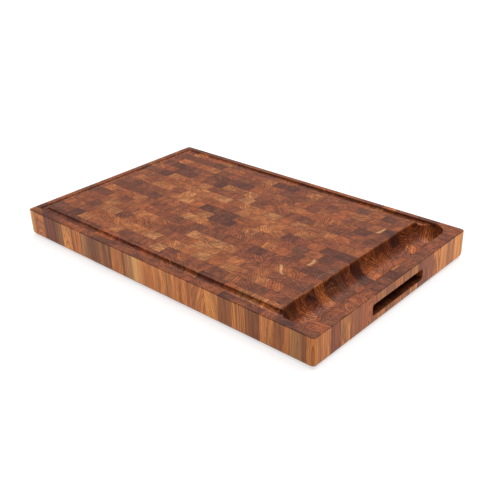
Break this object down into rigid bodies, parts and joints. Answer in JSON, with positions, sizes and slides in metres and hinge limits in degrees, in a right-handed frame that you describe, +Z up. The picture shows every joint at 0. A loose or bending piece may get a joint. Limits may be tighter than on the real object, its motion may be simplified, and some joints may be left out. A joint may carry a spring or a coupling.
{
  "type": "cutting board",
  "caption": "Rectangular end-grain wood carving board with a juice groove on three sides, a deep half-round trough along one end and a blind hand slot in each end.",
  "frame": {"origin": "centre of the underside", "axes": "+X along the length towards the trough end, +Y across to the far long side, +Z up out of the carving surface"},
  "size_m": [0.45, 0.28, 0.035],
  "materials": {
    "teak": "oiled satin end grain"
  },
  "bodies": {
    "root": {"strip_01": "teak", "strip_02": "teak", "strip_03": "teak", "strip_04": "teak", "strip_05": "teak", "strip_06": "teak", "strip_07": "teak", "strip_08": "teak", "strip_09": "teak", "strip_10": "teak", "strip_11": "teak", "strip_12": "teak", "strip_13": "teak", "strip_14": "teak", "strip_15": "teak", "strip_16": "teak", "strip_17": "teak", "strip_18": "teak", "strip_19": "teak"}
  },
  "joints": []
}
